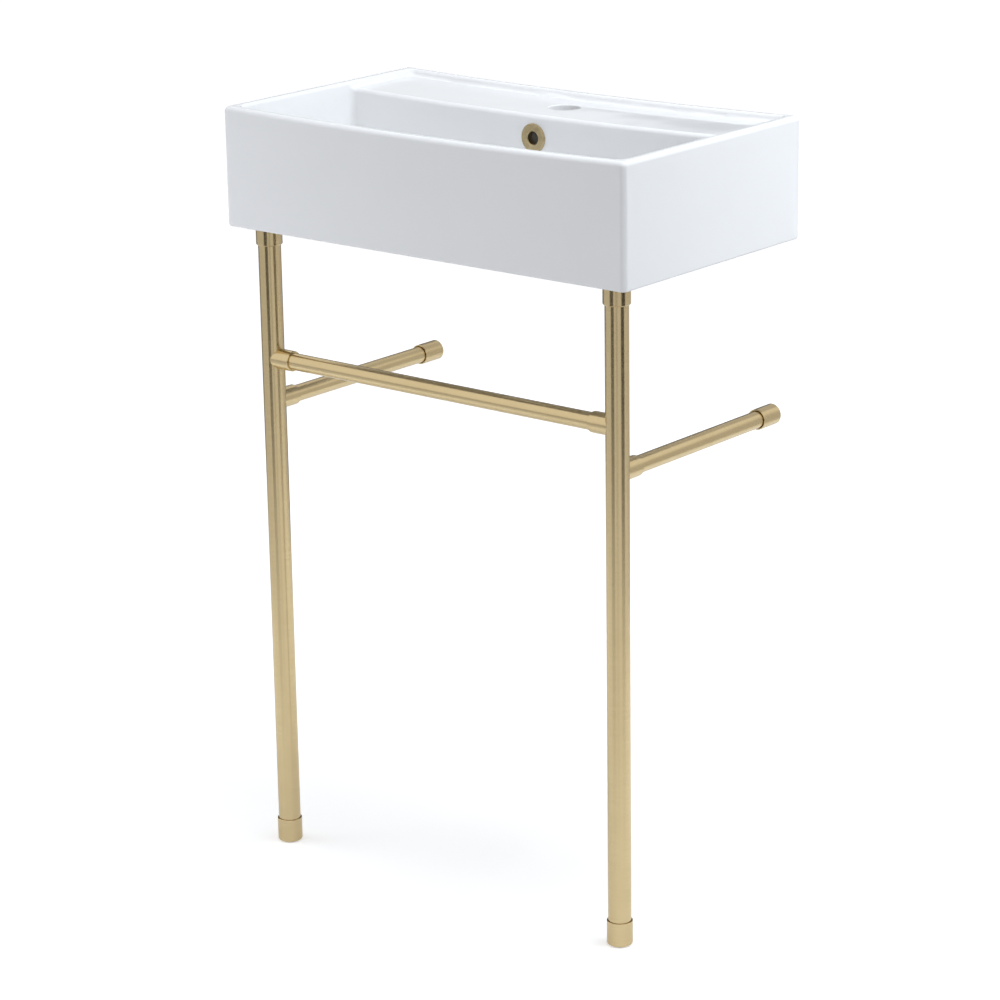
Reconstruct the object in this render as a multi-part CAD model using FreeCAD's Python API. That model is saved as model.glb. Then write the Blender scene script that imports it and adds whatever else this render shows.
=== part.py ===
"""Console basin on two front legs, braced to the wall by two side arms.

Millimetres.  +X runs to the right of someone facing the front, +Y towards the wall, +Z up.
The origin is on the floor, under the middle of the basin.
"""
import FreeCAD, Part
import math
import os
from FreeCAD import Vector

os.makedirs("parts", exist_ok=True)

# ---------------------------------------------------------------- driving dimensions
# basin, outside
BASIN_WIDTH = 550.0
BASIN_DEPTH = 312.0
BASIN_HEIGHT = 134.0
RIM_HEIGHT = 866.0  # of the rim's corners above the floor
RIM_SAG = 4.0  # rim and deck dip this much in the middle, from firing
OUTER_CORNER_RADIUS = 6.0
RIM_OUTER_RADIUS = 5.5
RIM_INNER_RADIUS = 4.0
BASE_EDGE_RADIUS = 3.0

# basin, inside
SIDE_WALL = 13.0  # front and side walls, and so the rim
BACK_WALL = 12.0
BOWL_DEPTH = 98.0  # below the rim's corners, at the middle
BOWL_CORNER_RADIUS = 9.0
BOWL_FLOOR_RADIUS = 24.0
FLOOR_FALL = 7.0  # from the bowl's ends to its middle
FLOOR_THICKNESS = 13.0
BOWL_REAR_WALL = 13.0
DECK_DROP = 7.5  # deck below the rim
DECK_REACH = 100.0  # bowl to rear lip; the bowl takes the rest of the depth
DECK_THICKNESS = 14.0
DECK_CORNER_RADIUS = 8.0
DECK_SIDE_RADIUS = 5.0
DECK_FRONT_RADIUS = 5.0
UNDERSIDE_CORNER_RADIUS = 6.0

# drain, faucet, overflow and wall fixings in the basin
DRAIN_HOLE_DIAMETER = 45.0
DRAIN_SEAT_DIAMETER = 66.0
DRAIN_SEAT_DEPTH = 3.0
DRAIN_DISH_DIAMETER = 130.0
DRAIN_DISH_DEPTH = 4.0
DRAIN_BOSS_WALL = 11.0
DRAIN_BOSS_RECESS = 3.0  # boss and overflow duct stop this far above the base
FAUCET_HOLE_DIAMETER = 35.0
FAUCET_TO_WALL = 57.0
FAUCET_HOLE_EDGE = 1.5
OVERFLOW_HOLE_DIAMETER = 24.0
OVERFLOW_BELOW_RIM = 37.0
OVERFLOW_DUCT_WIDTH = 28.0
OVERFLOW_DUCT_GAP = 11.0
OVERFLOW_DUCT_WALL = 6.0
OVERFLOW_DUCT_HEADROOM = 5.0  # duct above the overflow hole
WALL_BOLT_SPACING = 280.0
WALL_BOLT_HOLE_DIAMETER = 16.0
WALL_BOLT_ABOVE_BASE = 72.0
LEG_BOSS_DIAMETER = 46.0

# overflow trim ring
TRIM_FLANGE_DIAMETER = 32.0
TRIM_FLANGE_THICKNESS = 2.2
TRIM_BORE_DIAMETER = 14.5
TRIM_SPIGOT_LENGTH = 10.0
TRIM_SPIGOT_WALL = 1.8
TRIM_SPIGOT_FIT = 0.3
TRIM_EDGE = 0.8

# legs and rails
LEG_INSET = 33.7  # leg axes inside the basin's ends
LEG_SETBACK = 31.2  # leg axes behind the front face
LEG_TUBE_DIAMETER = 25.4
LEG_TUBE_WALL = 1.5
RAIL_TUBE_DIAMETER = 19.05  # crossbar and side arms
RAIL_TUBE_WALL = 1.2
CROSSBAR_HEIGHT = 581.0
ARM_HEIGHT = 531.5
TUBE_FIT = 0.15  # radial clearance of a tube in its socket

# fixing of a leg to the basin
SOCKET_DIAMETER = 29.4
SOCKET_LENGTH = 20.0
SOCKET_DISC = 3.5
SOCKET_MOUTH_BEVEL = 1.0
TOP_WASHER_THICKNESS = 1.5
TOP_WASHER_INSET = 0.7  # washer's edge inside the socket's
ANCHOR_DIAMETER = 16.0
ANCHOR_LENGTH = 22.0
ANCHOR_FIT = 0.15
ANCHOR_HOLE_SPARE = 2.0  # basin's hole deeper than the anchor
BOLT_DIAMETER = 8.0
BOLT_HEAD_DIAMETER = 14.0
BOLT_HEAD_HEIGHT = 4.5
BOLT_THREAD_DEPTH = 19.0  # into the anchor
BOLT_HOLE_CLEARANCE = 0.3
BOLT_KEY = 5.0  # hexagon, across flats

# stubs that carry the crossbar and the arms on each leg
STUB_DIAMETER = 23.0
STUB_REACH = 31.0  # leg axis to the stub's mouth
STUB_INSERTION = 14.5  # tube inside the stub
STUB_MOUTH_BEVEL = 0.5

# grub screws
GRUB_DIAMETER = 4.0
GRUB_SUNK = 0.2  # below the outer surface
GRUB_KEY = 2.0
GRUB_KEY_DEPTH = 1.0
SOCKET_GRUB_ABOVE_MOUTH = 7.0
STUB_GRUB_FROM_MOUTH = 6.0

# adjustable feet
FOOT_CUP_DIAMETER = 28.4
FOOT_CUP_TOP = 28.5  # above the floor
FOOT_CUP_GAP = 0.45  # radial, round the leg tube
FOOT_CUP_FLOOR = 3.5
FOOT_CUP_LIP_BEVEL = 0.4
FOOT_CUP_BASE_RADIUS = 2.5
FOOT_TRAVEL = 12.0
FOOT_STOP_GAP = 0.5
FOOT_STUD_DIAMETER = 10.0
FOOT_STUD_LENGTH = 36.0
FOOT_THREAD_CLEARANCE = 0.1
FOOT_PLUG_LENGTH = 22.0
FOOT_PLUG_RIM = 1.5
FOOT_PLUG_FIT = 0.05
PAD_DIAMETER = 21.0
PAD_THICKNESS = 2.5
PAD_PROUD = 1.0
PAD_FIT = 0.3
PAD_PEG_DIAMETER = 5.0
PAD_PEG_LENGTH = 4.0
PAD_PEG_CLEARANCE = 0.1

# wall cups on the arms' rear ends
WALL_CUP_DIAMETER = 23.0
WALL_CUP_LENGTH = 31.0
WALL_CUP_GAP = 0.45  # radial, round the arm
WALL_CUP_FLOOR = 4.0
WALL_CUP_LIP_BEVEL = 0.4
WALL_CUP_BASE_BEVEL = 0.6
WALL_CUP_TRAVEL_IN = 8.0  # towards the leg
WALL_CUP_STOP_GAP = 0.5
WALL_SCREW_HOLE_DIAMETER = 5.0
WALL_SCREW_HEAD_DIAMETER = 10.0
GRIP_RING_WIDTH = 2.6
GRIP_RING_THICKNESS = 1.2
GRIP_RING_FROM_MOUTH = 4.5
GRIP_RING_CLEARANCE = 0.1
GROOVE_FIT = 0.05

SIDES = {"left": -1.0, "right": 1.0}
X_AXIS = Vector(1, 0, 0)
Y_AXIS = Vector(0, 1, 0)
Z_AXIS = Vector(0, 0, 1)
TOUCH = 1e-3  # how close counts as lying on a surface

# ---------------------------------------------------------------- places worked out from them
half_width = BASIN_WIDTH / 2
front_y = -BASIN_DEPTH / 2
wall_y = BASIN_DEPTH / 2
base_z = RIM_HEIGHT - BASIN_HEIGHT
inner_x = half_width - SIDE_WALL
bowl_front_y = front_y + SIDE_WALL
deck_rear_y = wall_y - BACK_WALL
bowl_rear_y = deck_rear_y - DECK_REACH
bowl_middle_y = (bowl_front_y + bowl_rear_y) / 2
bowl_floor_z = RIM_HEIGHT - BOWL_DEPTH
drain_seat_z = bowl_floor_z - DRAIN_DISH_DEPTH - DRAIN_SEAT_DEPTH
floor_underside_z = bowl_floor_z - DRAIN_DISH_DEPTH - FLOOR_THICKNESS
deck_side_z = RIM_HEIGHT - DECK_DROP
deck_underside_z = deck_side_z - RIM_SAG - DECK_THICKNESS
overflow_z = RIM_HEIGHT - OVERFLOW_BELOW_RIM
above_rim_z = RIM_HEIGHT + DECK_DROP

leg_x = half_width - LEG_INSET
leg_y = front_y + LEG_SETBACK
leg_radius = LEG_TUBE_DIAMETER / 2
rail_radius = RAIL_TUBE_DIAMETER / 2
socket_top_z = base_z - TOP_WASHER_THICKNESS
socket_mouth_z = socket_top_z - SOCKET_LENGTH
leg_top_z = socket_top_z - SOCKET_DISC
cup_recess_z = PAD_THICKNESS
cup_floor_top_z = cup_recess_z + FOOT_CUP_FLOOR
foot_plug_z = cup_floor_top_z + FOOT_TRAVEL + FOOT_STOP_GAP
leg_bottom_z = foot_plug_z + FOOT_PLUG_RIM
rail_start = STUB_REACH - STUB_INSERTION
wall_cup_mouth_y = wall_y - WALL_CUP_LENGTH
arm_rear_y = wall_y - WALL_CUP_FLOOR - WALL_CUP_TRAVEL_IN - WALL_CUP_STOP_GAP


# ---------------------------------------------------------------- helpers
def rod(radius, start, end):
    """Solid cylinder from start to end."""
    along = end - start
    return Part.makeCylinder(radius, along.Length, start, along)


def pipe(outer_radius, inner_radius, start, end):
    return rod(outer_radius, start, end).cut(rod(inner_radius, start, end))


def block(low, high):
    size = high - low
    return Part.makeBox(size.x, size.y, size.z, low)


def hexagon_rod(across_flats, start, end):
    """Six-sided prism from start to end."""
    along = end - start
    side = along.cross(X_AXIS)
    if side.Length < TOUCH:
        side = along.cross(Y_AXIS)
    side.normalize()
    side = side * (across_flats / 2 / math.cos(math.radians(30)))
    corners = []
    for step in range(7):
        turn = FreeCAD.Rotation(along, step * 60)
        corners.append(start + turn.multVec(side))
    return Part.Face(Part.makePolygon(corners)).extrude(along)


def edges_where(shape, test):
    """Edges whose two ends and middle all pass the test."""
    found = []
    for edge in shape.Edges:
        span = edge.LastParameter - edge.FirstParameter
        samples = [edge.valueAt(edge.FirstParameter + share * span) for share in (0.0, 0.5, 1.0)]
        if all(test(point) for point in samples):
            found.append(edge)
    return found


def vertical_edges(shape, test=lambda point: True):
    """Straight upright edges that pass the test."""
    found = []
    for edge in edges_where(shape, test):
        rise = edge.valueAt(edge.LastParameter) - edge.valueAt(edge.FirstParameter)
        if math.hypot(rise.x, rise.y) < TOUCH < abs(rise.z):
            found.append(edge)
    return found


def arched_block(half, rear_y, front, side_z, dip, level_z):
    """Block between the level level_z and an arc that dips by dip from side_z at its two sides."""
    low_left = Vector(-half, front, level_z)
    low_right = Vector(half, front, level_z)
    right = Vector(half, front, side_z)
    middle = Vector(0, front, side_z - dip)
    left = Vector(-half, front, side_z)
    outline = [
        Part.makeLine(low_left, low_right),
        Part.makeLine(low_right, right),
        Part.Arc(right, middle, left).toShape(),
        Part.makeLine(left, low_left),
    ]
    return Part.Face(Part.Wire(outline)).extrude(Y_AXIS * (rear_y - front))


def rim_surface_z(x):
    """Height of the sagging rim at x."""
    radius = (half_width**2 + RIM_SAG**2) / (2 * RIM_SAG)
    return RIM_HEIGHT - RIM_SAG + radius - math.sqrt(radius**2 - x**2)


def on_rim(point):
    return abs(point.z - rim_surface_z(point.x)) < TOUCH


def within_bowl_walls(point):
    across = abs(point.x) < inner_x + TOUCH
    return across and bowl_front_y - TOUCH < point.y < deck_rear_y + TOUCH


# ---------------------------------------------------------------- basin
def basin_block():
    """Outside of the basin, with its soft corners."""
    body = arched_block(half_width, wall_y, front_y, RIM_HEIGHT, RIM_SAG, base_z)
    body = body.makeFillet(OUTER_CORNER_RADIUS, vertical_edges(body))
    body = body.makeFillet(RIM_OUTER_RADIUS, edges_where(body, on_rim))
    base_edges = edges_where(body, lambda point: abs(point.z - base_z) < TOUCH)
    return body.makeFillet(BASE_EDGE_RADIUS, base_edges)


def bowl_space():
    """Everything that is open above the bowl's floor."""
    floor_side_z = bowl_floor_z + FLOOR_FALL
    space = arched_block(inner_x, bowl_rear_y, bowl_front_y, floor_side_z, FLOOR_FALL, above_rim_z)
    space = space.makeFillet(BOWL_CORNER_RADIUS, vertical_edges(space))
    floor_edges = edges_where(space, lambda point: point.z < floor_side_z + TOUCH)
    return space.makeFillet(BOWL_FLOOR_RADIUS, floor_edges)


def deck_space():
    """Everything that is open above the deck."""
    space = arched_block(inner_x, deck_rear_y, bowl_middle_y, deck_side_z, RIM_SAG, above_rim_z)
    rear_corners = vertical_edges(space, lambda point: point.y > deck_rear_y - TOUCH)
    space = space.makeFillet(DECK_CORNER_RADIUS, rear_corners)

    low_edges = edges_where(space, lambda point: point.z < deck_side_z + TOUCH)
    border = [edge for edge in low_edges if edge.CenterOfMass.y > bowl_middle_y + TOUCH]
    return space.makeFillet(DECK_SIDE_RADIUS, border)


def open_top():
    """Bowl and deck together, with the deck's front edge rounded."""
    space = bowl_space().fuse(deck_space()).removeSplitter()

    def deck_front(point):
        return abs(point.y - bowl_rear_y) < TOUCH and deck_side_z - RIM_SAG - TOUCH < point.z < deck_side_z

    return space.makeFillet(DECK_FRONT_RADIUS, edges_where(space, deck_front))


def drain_axis(z):
    return Vector(0, bowl_middle_y, z)


def drain_space():
    """Shallow dish, flange seat and hole of the drain."""
    dish_top = drain_axis(bowl_floor_z)
    dish_radius = DRAIN_DISH_DIAMETER / 2
    seat_radius = DRAIN_SEAT_DIAMETER / 2
    dish = Part.makeCone(dish_radius, seat_radius, DRAIN_DISH_DEPTH, dish_top, -Z_AXIS)
    above = rod(dish_radius, dish_top, drain_axis(bowl_floor_z + FLOOR_FALL))
    seat = rod(seat_radius, drain_axis(drain_seat_z), dish_top)
    hole = rod(DRAIN_HOLE_DIAMETER / 2, drain_axis(base_z), dish_top)
    return dish.fuse([above, seat, hole])


def duct_solid(margin):
    """Overflow duct, down behind the bowl and forward to the drain, grown by margin."""
    half = OVERFLOW_DUCT_WIDTH / 2 + margin
    low_z = base_z + DRAIN_BOSS_RECESS + OVERFLOW_DUCT_WALL - margin
    duct_front_y = bowl_rear_y + BOWL_REAR_WALL
    duct_rear_y = duct_front_y + OVERFLOW_DUCT_GAP + margin
    top_z = overflow_z + OVERFLOW_HOLE_DIAMETER / 2 + OVERFLOW_DUCT_HEADROOM + margin
    shelf_z = floor_underside_z - (OVERFLOW_DUCT_WALL - margin) / 2
    upright = block(Vector(-half, duct_front_y - margin / 2, low_z), Vector(half, duct_rear_y, top_z))
    run = block(Vector(-half, bowl_middle_y, low_z), Vector(half, duct_rear_y, shelf_z))
    return upright.fuse(run)


def leg_boss(side):
    axis = Vector(side * leg_x, leg_y, base_z)
    return rod(LEG_BOSS_DIAMETER / 2, axis, axis + Z_AXIS * (floor_underside_z - base_z))


def underside_space():
    """Hollow under the bowl and the deck, open at the base, round what stands in it."""
    split_y = bowl_rear_y + BOWL_REAR_WALL
    under_bowl = block(Vector(-inner_x, bowl_front_y, base_z), Vector(inner_x, split_y, floor_underside_z))
    under_deck = block(Vector(-inner_x, split_y, base_z), Vector(inner_x, deck_rear_y, deck_underside_z))
    space = under_bowl.fuse(under_deck).removeSplitter()
    space = space.makeFillet(UNDERSIDE_CORNER_RADIUS, vertical_edges(space))
    boss_radius = DRAIN_HOLE_DIAMETER / 2 + DRAIN_BOSS_WALL
    boss = rod(boss_radius, drain_axis(base_z + DRAIN_BOSS_RECESS), drain_axis(floor_underside_z))
    standing = [boss, duct_solid(OVERFLOW_DUCT_WALL)]
    for side in SIDES.values():
        standing.append(leg_boss(side))
    return space.cut(standing)


def basin():
    body = basin_block().cut(open_top())
    rim_inner_edges = edges_where(body, lambda point: on_rim(point) and within_bowl_walls(point))
    body = body.makeFillet(RIM_INNER_RADIUS, rim_inner_edges)
    faucet_y = wall_y - FAUCET_TO_WALL
    faucet_radius = FAUCET_HOLE_DIAMETER / 2
    openings = [
        underside_space(),
        duct_solid(0.0),
        drain_space(),
        rod(
            OVERFLOW_HOLE_DIAMETER / 2,
            Vector(0, bowl_rear_y - TRIM_FLANGE_THICKNESS, overflow_z),
            Vector(0, bowl_rear_y + BOWL_REAR_WALL + OVERFLOW_DUCT_GAP / 2, overflow_z),
        ),
        rod(faucet_radius, Vector(0, faucet_y, deck_underside_z), Vector(0, faucet_y, RIM_HEIGHT)),
    ]
    for side in SIDES.values():
        bolt_x = side * WALL_BOLT_SPACING / 2
        bolt_z = base_z + WALL_BOLT_ABOVE_BASE
        start = Vector(bolt_x, deck_rear_y, bolt_z)
        openings.append(rod(WALL_BOLT_HOLE_DIAMETER / 2, start, start + Y_AXIS * BACK_WALL))
        anchor_axis = Vector(side * leg_x, leg_y, base_z)
        depth = ANCHOR_LENGTH + ANCHOR_HOLE_SPARE
        openings.append(rod(ANCHOR_DIAMETER / 2 + ANCHOR_FIT, anchor_axis, anchor_axis + Z_AXIS * depth))
    body = body.cut(openings)

    def faucet_edge(point):
        off_axis = abs(math.hypot(point.x, point.y - faucet_y) - faucet_radius) < TOUCH
        return off_axis and point.z > deck_underside_z + TOUCH

    return body.makeFillet(FAUCET_HOLE_EDGE, edges_where(body, faucet_edge))


def overflow_ring():
    """Flanged trim pushed into the overflow hole."""
    face = Vector(0, bowl_rear_y, overflow_z)
    front = face - Y_AXIS * TRIM_FLANGE_THICKNESS
    spigot_radius = OVERFLOW_HOLE_DIAMETER / 2 - TRIM_SPIGOT_FIT
    flange = pipe(TRIM_FLANGE_DIAMETER / 2, TRIM_BORE_DIAMETER / 2, front, face)
    spigot = pipe(spigot_radius, spigot_radius - TRIM_SPIGOT_WALL, face, face + Y_AXIS * TRIM_SPIGOT_LENGTH)
    ring = flange.fuse(spigot)
    front_edges = edges_where(ring, lambda point: abs(point.y - front.y) < TOUCH)
    return ring.makeChamfer(TRIM_EDGE, front_edges)


# ---------------------------------------------------------------- leg and basin fixing
def leg_axis(side, z):
    return Vector(side * leg_x, leg_y, z)


def anchor_bush(side):
    bush = rod(ANCHOR_DIAMETER / 2, leg_axis(side, base_z), leg_axis(side, base_z + ANCHOR_LENGTH))
    thread_top = leg_axis(side, base_z + BOLT_THREAD_DEPTH)
    return bush.cut(rod(BOLT_DIAMETER / 2, leg_axis(side, base_z), thread_top))


def top_washer(side):
    outer = SOCKET_DIAMETER / 2 - TOP_WASHER_INSET
    inner = BOLT_DIAMETER / 2 + BOLT_HOLE_CLEARANCE
    return pipe(outer, inner, leg_axis(side, socket_top_z), leg_axis(side, base_z))


def grub_line(side):
    """Where a socket's grub screw sits: from the leg tube's surface out towards the wall."""
    height = leg_axis(side, socket_mouth_z + SOCKET_GRUB_ABOVE_MOUTH)
    inner_end = height + Y_AXIS * leg_radius
    outer_end = height + Y_AXIS * (SOCKET_DIAMETER / 2)
    return inner_end, outer_end


def grub_screw(inner_end, outer_end):
    outward = outer_end - inner_end
    outward.normalize()
    head = outer_end - outward * GRUB_SUNK
    screw = rod(GRUB_DIAMETER / 2, inner_end, head)
    return screw.cut(hexagon_rod(GRUB_KEY, head - outward * GRUB_KEY_DEPTH, head))


def grub_hole(inner_end, outer_end):
    """Tapped hole for a grub screw, from the tube's surface out past the wall round it."""
    return rod(GRUB_DIAMETER / 2, inner_end, outer_end + (outer_end - inner_end))


def top_socket(side):
    """Cup bolted under the basin; the leg tube pushes up into it."""
    mouth = leg_axis(side, socket_mouth_z)
    socket = rod(SOCKET_DIAMETER / 2, mouth, leg_axis(side, socket_top_z))
    socket = socket.cut(rod(leg_radius + TUBE_FIT, mouth, leg_axis(side, leg_top_z)))
    bolt_hole_radius = BOLT_DIAMETER / 2 + BOLT_HOLE_CLEARANCE
    socket = socket.cut(rod(bolt_hole_radius, leg_axis(side, leg_top_z), leg_axis(side, socket_top_z)))

    def outer_mouth(point):
        reach = math.hypot(point.x - side * leg_x, point.y - leg_y)
        return abs(point.z - socket_mouth_z) < TOUCH and reach > SOCKET_DIAMETER / 2 - TOUCH

    socket = socket.makeChamfer(SOCKET_MOUTH_BEVEL, edges_where(socket, outer_mouth))
    return socket.cut(grub_hole(*grub_line(side)))


def socket_bolt(side):
    head_z = leg_top_z - BOLT_HEAD_HEIGHT
    head = rod(BOLT_HEAD_DIAMETER / 2, leg_axis(side, head_z), leg_axis(side, leg_top_z))
    shank = rod(BOLT_DIAMETER / 2, leg_axis(side, leg_top_z), leg_axis(side, base_z + BOLT_THREAD_DEPTH))
    key = hexagon_rod(BOLT_KEY, leg_axis(side, head_z), leg_axis(side, head_z + BOLT_HEAD_HEIGHT / 2))
    return head.fuse(shank).cut(key)


def leg_tube(side):
    inner = leg_radius - LEG_TUBE_WALL
    return pipe(leg_radius, inner, leg_axis(side, leg_bottom_z), leg_axis(side, leg_top_z))


# ---------------------------------------------------------------- stubs, crossbar and arms
def stub(side, direction, height):
    """Sleeve coped onto the leg, open towards direction, for the end of a rail tube."""
    start = leg_axis(side, height)
    mouth = start + direction * STUB_REACH
    sleeve = pipe(STUB_DIAMETER / 2, rail_radius + TUBE_FIT, start, mouth)

    def outer_mouth(point):
        from_mouth = point - mouth
        along = from_mouth.dot(direction)
        return abs(along) < TOUCH and from_mouth.Length > STUB_DIAMETER / 2 - TOUCH

    sleeve = sleeve.makeChamfer(STUB_MOUTH_BEVEL, edges_where(sleeve, outer_mouth))
    leg = rod(leg_radius, leg_axis(side, height - STUB_DIAMETER), leg_axis(side, height + STUB_DIAMETER))
    return sleeve.cut([leg, grub_hole(*stub_grub_line(side, direction, height))])


def stub_grub_line(side, direction, height):
    """Where a stub's grub screw sits: from the rail tube's underside down."""
    along = leg_axis(side, height) + direction * (STUB_REACH - STUB_GRUB_FROM_MOUTH)
    return along - Z_AXIS * rail_radius, along - Z_AXIS * (STUB_DIAMETER / 2)


def towards_middle(side):
    return X_AXIS * -side


def crossbar():
    half = X_AXIS * (leg_x - rail_start)
    middle = Vector(0, leg_y, CROSSBAR_HEIGHT)
    return pipe(rail_radius, rail_radius - RAIL_TUBE_WALL, middle - half, middle + half)


def arm_axis(side, y):
    return Vector(side * leg_x, y, ARM_HEIGHT)


def side_arm(side):
    inner = rail_radius - RAIL_TUBE_WALL
    return pipe(rail_radius, inner, arm_axis(side, leg_y + rail_start), arm_axis(side, arm_rear_y))


# ---------------------------------------------------------------- feet
def foot_plug(side):
    """Threaded plug in the leg's lower end."""
    inside = leg_radius - LEG_TUBE_WALL - FOOT_PLUG_FIT
    body = rod(inside, leg_axis(side, foot_plug_z), leg_axis(side, leg_bottom_z + FOOT_PLUG_LENGTH))
    rim = rod(leg_radius, leg_axis(side, foot_plug_z), leg_axis(side, leg_bottom_z))
    hole_top = leg_axis(side, leg_bottom_z + FOOT_PLUG_LENGTH)
    hole = rod(FOOT_STUD_DIAMETER / 2 + FOOT_THREAD_CLEARANCE, leg_axis(side, foot_plug_z), hole_top)
    return body.fuse(rim).cut(hole)


def foot_cup(side):
    """Cup round the leg's lower end."""
    low_z = PAD_PROUD
    cup = rod(FOOT_CUP_DIAMETER / 2, leg_axis(side, low_z), leg_axis(side, FOOT_CUP_TOP))
    low_edges = edges_where(cup, lambda point: abs(point.z - low_z) < TOUCH)
    cup = cup.makeFillet(FOOT_CUP_BASE_RADIUS, low_edges)
    inside = rod(leg_radius + FOOT_CUP_GAP, leg_axis(side, cup_floor_top_z), leg_axis(side, FOOT_CUP_TOP))
    recess = rod(PAD_DIAMETER / 2 + PAD_FIT, leg_axis(side, low_z), leg_axis(side, cup_recess_z))
    stud_hole = rod(FOOT_STUD_DIAMETER / 2, leg_axis(side, cup_recess_z), leg_axis(side, cup_floor_top_z))
    cup = cup.cut([inside, recess, stud_hole])

    def lip(point):
        return abs(point.z - FOOT_CUP_TOP) < TOUCH

    return cup.makeChamfer(FOOT_CUP_LIP_BEVEL, edges_where(cup, lip))


def foot_stud(side):
    stud_top_z = cup_recess_z + FOOT_STUD_LENGTH
    stud = rod(FOOT_STUD_DIAMETER / 2, leg_axis(side, cup_recess_z), leg_axis(side, stud_top_z))
    peg_radius = PAD_PEG_DIAMETER / 2 + PAD_PEG_CLEARANCE
    peg_depth = PAD_PEG_LENGTH + FOOT_STOP_GAP
    peg_hole = rod(peg_radius, leg_axis(side, cup_recess_z), leg_axis(side, cup_recess_z + peg_depth))
    return stud.cut(peg_hole)


def foot_pad(side):
    """Glide that stays still on the floor while the cup turns on its peg."""
    disc = rod(PAD_DIAMETER / 2, leg_axis(side, 0), leg_axis(side, PAD_THICKNESS))
    peg_top = leg_axis(side, PAD_THICKNESS + PAD_PEG_LENGTH)
    return disc.fuse(rod(PAD_PEG_DIAMETER / 2, leg_axis(side, PAD_THICKNESS), peg_top))


# ---------------------------------------------------------------- wall ends
def grip_ring_span(side):
    """Front and rear of the grip ring in the wall cup."""
    ring_front_y = wall_cup_mouth_y + GRIP_RING_FROM_MOUTH
    return arm_axis(side, ring_front_y), arm_axis(side, ring_front_y + GRIP_RING_WIDTH)


def wall_cup(side):
    """Cup over the arm's rear end, screwed to the wall through its floor."""
    mouth = arm_axis(side, wall_cup_mouth_y)
    back = arm_axis(side, wall_y)
    floor = back - Y_AXIS * WALL_CUP_FLOOR
    cup = rod(WALL_CUP_DIAMETER / 2, mouth, back)
    back_edges = edges_where(cup, lambda point: abs(point.y - wall_y) < TOUCH)
    cup = cup.makeChamfer(WALL_CUP_BASE_BEVEL, back_edges)
    screw_radius = WALL_SCREW_HOLE_DIAMETER / 2
    head_radius = WALL_SCREW_HEAD_DIAMETER / 2
    countersink = Part.makeCone(head_radius, screw_radius, head_radius - screw_radius, floor, Y_AXIS)
    ring_front, ring_rear = grip_ring_span(side)
    groove_radius = rail_radius + GRIP_RING_CLEARANCE + GRIP_RING_THICKNESS + GROOVE_FIT
    cup = cup.cut(
        [
            rod(rail_radius + WALL_CUP_GAP, mouth, floor),
            rod(screw_radius, floor, back),
            countersink,
            rod(groove_radius, ring_front, ring_rear),
        ]
    )

    def lip(point):
        return abs(point.y - wall_cup_mouth_y) < TOUCH

    return cup.makeChamfer(WALL_CUP_LIP_BEVEL, edges_where(cup, lip))


def grip_ring(side):
    """Rubber ring in the wall cup that grips the arm."""
    ring_front, ring_rear = grip_ring_span(side)
    inner = rail_radius + GRIP_RING_CLEARANCE
    return pipe(inner + GRIP_RING_THICKNESS, inner, ring_front, ring_rear)


# ---------------------------------------------------------------- write the pieces
def both_sides(make):
    return {side_name: make(side) for side_name, side in SIDES.items()}


paired = {
    "anchor_bush": anchor_bush,
    "top_washer": top_washer,
    "top_socket": top_socket,
    "socket_bolt": socket_bolt,
    "leg_tube": leg_tube,
    "crossbar_stub": lambda side: stub(side, towards_middle(side), CROSSBAR_HEIGHT),
    "arm_stub": lambda side: stub(side, Y_AXIS, ARM_HEIGHT),
    "side_arm": side_arm,
    "foot_plug": foot_plug,
    "foot_cup": foot_cup,
    "foot_stud": foot_stud,
    "foot_pad": foot_pad,
    "wall_cup": wall_cup,
    "grip_ring": grip_ring,
}

pieces = {
    "basin": basin(),
    "overflow_ring": overflow_ring(),
    "front_crossbar": crossbar(),
}
for piece_name, make_piece in paired.items():
    for side_name, shape in both_sides(make_piece).items():
        pieces[side_name + "_" + piece_name] = shape

socket_grubs = []
stub_grubs = []
for side in SIDES.values():
    socket_grubs.append(grub_screw(*grub_line(side)))
    stub_grubs.append(grub_screw(*stub_grub_line(side, towards_middle(side), CROSSBAR_HEIGHT)))
    stub_grubs.append(grub_screw(*stub_grub_line(side, Y_AXIS, ARM_HEIGHT)))
pieces["socket_grub_screws"] = Part.makeCompound(socket_grubs)
pieces["stub_grub_screws"] = Part.makeCompound(stub_grubs)

for node, shape in pieces.items():
    shape.exportStep("parts/" + node + ".step")
    print(node, len(shape.Solids), "solids", round(shape.Volume), "mm3", "valid", shape.isValid())
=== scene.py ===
"""Looks of a console basin on two brushed brass legs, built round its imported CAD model.

Metres.  +X runs to the right of someone facing the front, +Y towards the wall, +Z up.
"""

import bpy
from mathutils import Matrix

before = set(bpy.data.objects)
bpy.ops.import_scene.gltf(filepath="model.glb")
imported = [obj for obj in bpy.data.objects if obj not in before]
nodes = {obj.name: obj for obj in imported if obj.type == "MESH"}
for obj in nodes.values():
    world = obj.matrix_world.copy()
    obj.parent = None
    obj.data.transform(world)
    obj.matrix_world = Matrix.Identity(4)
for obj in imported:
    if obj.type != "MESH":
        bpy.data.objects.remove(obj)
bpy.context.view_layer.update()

import math

import bpy
from mathutils import Matrix, Vector

# camera, from the photograph's perspective: angles in degrees, lens and sensor in millimetres
CAMERA_PLACE = Vector((2.2590, -2.7748, 1.5207))
CAMERA_AZIMUTH = 39.388  # from -Y towards +X
CAMERA_ELEVATION = 16.992
CAMERA_ROLL = -0.896
CAMERA_LENS = 120.744
SENSOR_WIDTH = 36.0

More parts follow.
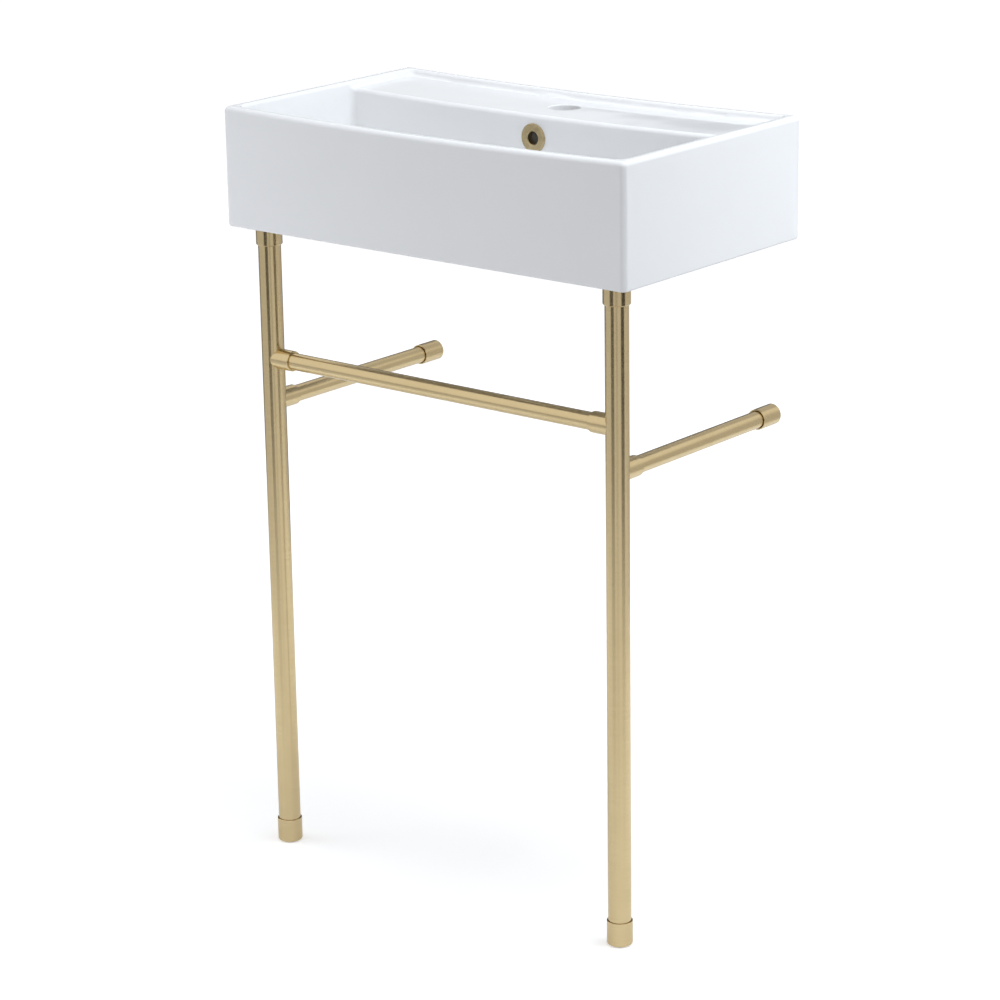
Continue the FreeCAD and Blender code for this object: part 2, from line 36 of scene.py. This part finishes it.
# studio
WHITE = (1.0, 1.0, 1.0)
FLOOR_SIZE = 60.0
FLOOR_ALBEDO = 0.8
FLOOR_GLOW = 0.72  # as the camera sees it, from SHADOW_REACH off the origin outwards
FLOOR_NEAR_GLOW = 0.42  # the same at the origin, where the object's shadow falls
SHADOW_REACH = 1.6
FLOOR_MIRRORED_GLOW = 0.25  # as reflections and refractions see it
SKY_MEAN = 0.41
SKY_TILT = 0.41  # added to the sky's mean strength in front of the object, taken off behind it
SKY_COLOUR = (0.955, 0.955, 0.98)
# softboxes aimed at the basin: azimuth and elevation in degrees, distance, size, watts
SOFTBOXES = {
    "softbox_top": (100, 75, 2.0, 1.0, 24.0),
    "softbox_right": (100, 40, 2.0, 1.0, 12.0),
    "softbox_back": (140, 0, 1.2, 0.7, 5.7),
    "softbox_left": (-60, -15, 1.3, 0.8, 5.2),
}
SOFTBOX_COLOUR = (0.89, 0.945, 1.0)
SOFTBOX_TARGET = Vector((0, 0, 0.8))
# upright cards round the object, seen in reflections only, as a studio's walls and dark flags:
# middle x, middle y, foot's height, width, height, turn in degrees, brightness
CARDS = {
    "card_front": (0.05, -1.75, 0.0, 0.9, 1.0, 0.0, 0.02),
    "card_side": (1.65, -0.1, 0.0, 0.86, 1.0, 90.0, 0.02),
    "card_camera": (1.52, -2.0, 0.0, 0.8, 1.0, 40.0, 0.4),
    "card_left": (-1.7, 0.4, 0.0, 1.3, 1.0, 90.0, 0.3),
    "wall_low_left": (-1.7, 1.0, 0.0, 2.7, 1.05, 0.0, 0.12),
    "wall_high_left": (-1.7, 1.0, 1.05, 2.7, 0.65, 0.0, 0.75),
    "wall_middle": (0.0, 1.0, 0.0, 0.7, 1.7, 0.0, 0.6),
    "wall_low_right": (1.7, 1.0, 0.0, 2.7, 0.95, 0.0, 0.65),
}

# finishes: noise scales are per metre, bumps' heights in metres, pairs run from low to high
NOISE_RANGE = (0.3, 0.7)  # where most of a noise's values lie
BRASS_TONES = ((0.58, 0.45, 0.24), (0.70, 0.56, 0.325))
BRASS_LINES = (4200.0, 60.0)  # noise scale along the axis and across it
BRASS_LINE_NOISE = (3.0, 0.6)  # detail and roughness
BRASS_LINE_HEIGHT = 0.000004
BRASS_BANDS = (700.0, 6.0)  # noise scale along the axis and across it
BRASS_WEAR = (35.0, 3.0)  # noise scale and detail
BRASS_WEAR_SHARE = 0.35
BRASS_ROUGHNESS = (0.215, 0.25)
BRASS_ANISOTROPY = 0.75
RING_TINT = 0.72
GLAZE_TONES = ((0.865, 0.87, 0.875), (0.885, 0.89, 0.895))
GLAZE_TONE_SCALE = 5.0
GLAZE_SWELL_SCALE = 9.0
GLAZE_SWELL_HEIGHT = 0.0006
GLAZE_PEEL_SCALE = 420.0
GLAZE_PEEL_HEIGHT = 0.000004
GLAZE_ROUGHNESS = (0.05, 0.09)
GLAZE_IOR = 1.52
# the unglazed underside's greys, darker than its own colour to paint the shade under the basin
CLAY_AND_SHADE_TONES = ((0.36, 0.34, 0.31), (0.44, 0.42, 0.39))
CLAY_NOISE = (260.0, 4.0)  # scale and detail
CLAY_ROUGHNESS = 0.8
CLAY_AND_SHADE_NORMAL = (-0.95, -0.7)  # Z part of the normal, from where all is unglazed and painted dark as shade to where all is glaze
# clouds in the colour and grain in the surface are noises of a scale and detail
PLAIN_FINISHES = {
    "zinc plated steel": {
        "tones": ((0.42, 0.42, 0.43), (0.58, 0.57, 0.55)),
        "cloud": (120.0, 2.0),
        "grain": (900.0, 3.0),
        "roughness": (0.25, 0.42),
        "height": 0.00001,
        "metallic": 1.0,
    },
    "moulded nylon": {
        "tones": ((0.60, 0.60, 0.57), (0.68, 0.68, 0.65)),
        "cloud": (60.0, 2.0),
        "grain": (1500.0, 3.0),
        "roughness": (0.42, 0.56),
        "height": 0.00002,
        "metallic": 0.0,
    },
    "black rubber": {
        "tones": ((0.012, 0.012, 0.012), (0.03, 0.03, 0.028)),
        "cloud": (1100.0, 4.0),
        "grain": (1100.0, 4.0),
        "roughness": (0.6, 0.8),
        "height": 0.00003,
        "metallic": 0.0,
    },
}

# a Mix node's sockets have the same names for each type: first input, second input, output
MIX_SOCKETS = {"FLOAT": (2, 3, 0), "RGBA": (6, 7, 2)}


# ---------------------------------------------------------------- node trees
class Tree:
    """A node tree, with short calls for the nodes used here."""

    def __init__(self, tree):
        self.tree = tree

    def add(self, kind, **settings):
        node = self.tree.nodes.new("ShaderNode" + kind)
        for key, value in settings.items():
            setattr(node, key, value)
        return node

    def feed(self, socket, value):
        """Links the socket to an output, or sets it to a number, a vector or a colour."""
        if isinstance(value, bpy.types.NodeSocket):
            self.tree.links.new(value, socket)
        elif socket.type == "RGBA":
            socket.default_value = (*value, 1.0)
        else:
            socket.default_value = value

    def fill(self, node, **values):
        """Feeds inputs by name, with an underscore for each space in it."""
        for name, value in values.items():
            self.feed(node.inputs[name.replace("_", " ")], value)

    def calculate(self, operation, *values):
        node = self.add("Math", operation=operation)
        for socket, value in zip(node.inputs, values):
            self.feed(socket, value)
        return node.outputs["Value"]

    def by_ray(self, seen, mirrored):
        """One value for camera rays, one for glossy and transmission rays, and 0 for all others."""
        path = self.add("LightPath")
        values = {"Camera": seen, "Glossy": mirrored, "Transmission": mirrored}
        total = 0.0
        for ray, value in values.items():
            part = self.calculate("MULTIPLY", path.outputs[f"Is {ray} Ray"], value)
            total = self.calculate("MAXIMUM", total, part)
        return total


class Shader(Tree):
    """A material's node tree, with its surface."""

    def __init__(self, name):
        self.material = bpy.data.materials.new(name)
        self.material.use_nodes = True
        super().__init__(self.material.node_tree)
        self.surface = self.tree.nodes["Principled BSDF"]

    def set(self, **values):
        self.fill(self.surface, **values)

    def glow_matt(self, albedo, glow):
        """Dull grey surface that gives off white light."""
        self.set(Base_Color=(albedo, albedo, albedo), Roughness=1.0, Specular_IOR_Level=0.0)
        self.set(Emission_Color=WHITE, Emission_Strength=glow)

    def place(self):
        return self.add("TexCoord").outputs["Object"]

    def stretched(self, axis, along, across):
        """Object coordinates times one scale along the axis and another across it."""
        mapping = self.add("Mapping")
        scale = [along if letter == axis else across for letter in "XYZ"]
        self.fill(mapping, Scale=scale, Vector=self.place())
        return mapping.outputs["Vector"]

    def noise(self, vector, scale, detail=2.0, roughness=0.5):
        node = self.add("TexNoise")
        self.fill(node, Vector=vector, Scale=scale, Detail=detail, Roughness=roughness)
        return node.outputs["Fac"]

    def spread(self, value, low=0.0, high=1.0, within=NOISE_RANGE):
        """Maps a value that lies within a range to low..high."""
        node = self.add("MapRange")
        start, end = within
        self.fill(node, Value=value, From_Min=start, From_Max=end, To_Min=low, To_Max=high)
        return node.outputs["Result"]

    def mix(self, kind, share, first, second):
        """From first to second as share goes from 0 to 1; the kind is FLOAT or RGBA."""
        node = self.add("Mix", data_type=kind)
        first_index, second_index, output_index = MIX_SOCKETS[kind]
        self.feed(node.inputs[0], share)
        self.feed(node.inputs[first_index], first)
        self.feed(node.inputs[second_index], second)
        return node.outputs[output_index]

    def blend(self, share, first, second):
        return self.mix("RGBA", share, first, second)

    def bump(self, height, distance, below=None):
        """Normal of a bump, over another normal where one is given."""
        node = self.add("Bump")
        self.fill(node, Height=height, Distance=distance, Strength=1.0)
        if below is not None:
            self.fill(node, Normal=below)
        return node.outputs["Normal"]


# ---------------------------------------------------------------- materials
def brushed_brass(name, axis, tint=1.0):
    """Satin champagne gold, its fine lines running round the given axis."""
    shader = Shader(name)
    lines = shader.noise(shader.stretched(axis, *BRASS_LINES), 1.0, *BRASS_LINE_NOISE)
    bands = shader.noise(shader.stretched(axis, *BRASS_BANDS), 1.0)
    wear = shader.noise(shader.place(), *BRASS_WEAR)
    deep, pale = (tuple(part * tint for part in tone) for tone in BRASS_TONES)
    colour = shader.blend(shader.spread(lines), deep, pale)
    along = shader.add("CombineXYZ")
    shader.feed(along.inputs[axis], 1.0)
    shader.set(
        Base_Color=shader.blend(shader.spread(wear, 0.0, BRASS_WEAR_SHARE), colour, pale),
        Roughness=shader.spread(bands, *BRASS_ROUGHNESS),
        Normal=shader.bump(lines, BRASS_LINE_HEIGHT),
        Tangent=along.outputs["Vector"],
        Metallic=1.0,
        Anisotropic=BRASS_ANISOTROPY,
    )
    return shader.material


def glazed_ceramic():
    """White gloss glaze with a fired surface's slight swell and peel, dull and unglazed underneath,
    where its grey is darkened as painted shade.
    """
    shader = Shader("white glaze")
    swell = shader.noise(shader.place(), GLAZE_SWELL_SCALE)
    peel = shader.noise(shader.place(), GLAZE_PEEL_SCALE)
    tone = shader.noise(shader.place(), GLAZE_TONE_SCALE)
    grit = shader.noise(shader.place(), *CLAY_NOISE)
    normal = shader.add("SeparateXYZ")
    shader.feed(normal.inputs["Vector"], shader.add("TexCoord").outputs["Normal"])
    # surfaces that face down are unglazed, their grey darkened as painted shade
    bare_and_shaded = shader.spread(normal.outputs["Z"], 1.0, 0.0, within=CLAY_AND_SHADE_NORMAL)
    glaze = shader.blend(shader.spread(tone), *GLAZE_TONES)
    clay_and_shade = shader.blend(shader.spread(grit), *CLAY_AND_SHADE_TONES)
    gloss = shader.spread(peel, *GLAZE_ROUGHNESS)
    waves = shader.bump(swell, GLAZE_SWELL_HEIGHT)
    shader.set(
        Base_Color=shader.blend(bare_and_shaded, glaze, clay_and_shade),
        Roughness=shader.mix("FLOAT", bare_and_shaded, gloss, CLAY_ROUGHNESS),
        Normal=shader.bump(peel, GLAZE_PEEL_HEIGHT, below=waves),
        IOR=GLAZE_IOR,
    )
    return shader.material


def plain_finish(name):
    """A finish of one cloudy colour and one grain."""
    finish = PLAIN_FINISHES[name]
    shader = Shader(name)
    cloud = shader.noise(shader.place(), *finish["cloud"])
    grain = shader.noise(shader.place(), *finish["grain"])
    shader.set(
        Base_Color=shader.blend(shader.spread(cloud), *finish["tones"]),
        Roughness=shader.spread(grain, *finish["roughness"]),
        Normal=shader.bump(grain, finish["height"]),
        Metallic=finish["metallic"],
    )
    return shader.material


def dress(node, material):
    slots = nodes[node].data.materials
    slots.clear()
    slots.append(material)


def dress_nodes():
    upright = brushed_brass("brushed brass, upright", "Z")
    across = brushed_brass("brushed brass, across", "X")
    deep = brushed_brass("brushed brass, front to back", "Y")
    steel = plain_finish("zinc plated steel")
    nylon = plain_finish("moulded nylon")
    rubber = plain_finish("black rubber")
    dress("basin", glazed_ceramic())
    dress("overflow_ring", brushed_brass("brushed brass, dark", "Y", RING_TINT))
    dress("front_crossbar", across)
    dress("socket_grub_screws", steel)
    dress("stub_grub_screws", steel)
    paired = {
        "anchor_bush": nylon,
        "top_washer": rubber,
        "top_socket": upright,
        "socket_bolt": steel,
        "leg_tube": upright,
        "crossbar_stub": across,
        "arm_stub": deep,
        "side_arm": deep,
        "foot_plug": steel,
        "foot_cup": upright,
        "foot_stud": steel,
        "foot_pad": nylon,
        "wall_cup": deep,
        "grip_ring": rubber,
    }
    for side in ("left", "right"):
        for piece, material in paired.items():
            dress(side + "_" + piece, material)


# ---------------------------------------------------------------- studio
def add_world():
    """Soft sky, brighter in front, and plain white where the camera or a reflection looks."""
    world = bpy.data.worlds.new("studio")
    bpy.context.scene.world = world
    world.use_nodes = True
    world.node_tree.nodes.clear()
    sky = Tree(world.node_tree)
    ahead = sky.add("VectorMath", operation="DOT_PRODUCT")
    sky.feed(ahead.inputs[0], sky.add("TexCoord").outputs["Generated"])
    sky.feed(ahead.inputs[1], (0, -1, 0))
    strength = sky.calculate("MULTIPLY_ADD", ahead.outputs["Value"], SKY_TILT, SKY_MEAN)
    light, white = sky.add("Background"), sky.add("Background")
    sky.fill(light, Color=SKY_COLOUR, Strength=strength)
    sky.fill(white, Color=WHITE, Strength=1.0)
    mix = sky.add("MixShader")
    sky.feed(mix.inputs["Fac"], sky.by_ray(1.0, 1.0))
    sky.feed(mix.inputs[1], light.outputs["Background"])
    sky.feed(mix.inputs[2], white.outputs["Background"])
    sky.fill(sky.add("OutputWorld"), Surface=mix.outputs["Shader"])


def add_sheet(name, corners, material):
    """Flat sheet through four corners, outside the object."""
    mesh = bpy.data.meshes.new(name)
    mesh.from_pydata(corners, [], [(0, 1, 2, 3)])
    sheet = bpy.data.objects.new(name, mesh)
    bpy.context.scene.collection.objects.link(sheet)
    sheet.data.materials.append(material)
    return sheet


def add_floor():
    """Pale floor that keeps the shadow and reads as white."""
    shader = Shader("pale floor")
    away = shader.add("VectorMath", operation="LENGTH")
    shader.feed(away.inputs[0], shader.place())
    seen = shader.spread(
        away.outputs["Value"], FLOOR_NEAR_GLOW, FLOOR_GLOW, within=(0.0, SHADOW_REACH)
    )
    shader.glow_matt(FLOOR_ALBEDO, shader.by_ray(seen, FLOOR_MIRRORED_GLOW))
    far = FLOOR_SIZE / 2
    corners = [(-far, -far, 0), (far, -far, 0), (far, far, 0), (-far, far, 0)]
    add_sheet("floor", corners, shader.material)


def add_cards():
    """Bright and dark cards that give the metal something to mirror."""
    for name, (x, y, foot, width, height, turn, brightness) in CARDS.items():
        shader = Shader(name)
        shader.glow_matt(0.0, brightness)
        angle = math.radians(turn)
        side = Vector((math.cos(angle), math.sin(angle), 0)) * width / 2
        middle, rise = Vector((x, y, foot)), Vector((0, 0, height))
        corners = [middle - side, middle + side, middle + side + rise, middle - side + rise]
        card = add_sheet(name, corners, shader.material)
        card.visible_camera = False
        card.visible_diffuse = False
        card.visible_shadow = False
        card.visible_transmission = False


def facing(azimuth, elevation):
    """Unit vector towards that azimuth, from -Y towards +X, and elevation, in degrees."""
    turn, rise = math.radians(azimuth), math.radians(elevation)
    level = math.cos(rise)
    return Vector((math.sin(turn) * level, -math.cos(turn) * level, math.sin(rise)))


def add_softboxes():
    """Square lamps aimed at the basin, out of the camera's and the reflections' sight."""
    for name, (azimuth, elevation, distance, size, watts) in SOFTBOXES.items():
        light = bpy.data.lights.new(name, "AREA")
        light.size = size
        light.energy = watts
        light.color = SOFTBOX_COLOUR
        lamp = bpy.data.objects.new(name, light)
        away = facing(azimuth, elevation)
        lamp.location = SOFTBOX_TARGET + away * distance
        lamp.rotation_euler = away.to_track_quat("Z", "Y").to_euler()
        lamp.visible_camera = False
        lamp.visible_glossy = False
        bpy.context.scene.collection.objects.link(lamp)


def add_camera():
    """Camera at the photograph's viewpoint, aimed by its azimuth, elevation and roll."""
    back = facing(CAMERA_AZIMUTH, CAMERA_ELEVATION)
    right = (-back).cross(Vector((0, 0, 1))).normalized()
    up = back.cross(right)
    turn = Matrix((right, up, back)).transposed()
    roll = Matrix.Rotation(math.radians(CAMERA_ROLL), 3, "Z")
    camera = bpy.data.objects.new("camera", bpy.data.cameras.new("camera"))
    camera.data.lens = CAMERA_LENS
    camera.data.sensor_width = SENSOR_WIDTH
    camera.matrix_world = Matrix.Translation(CAMERA_PLACE) @ (turn @ roll).to_4x4()
    bpy.context.scene.collection.objects.link(camera)
    bpy.context.scene.camera = camera


dress_nodes()
add_world()
add_floor()
add_cards()
add_softboxes()
add_camera()
bpy.context.scene.view_settings.view_transform = "Standard"
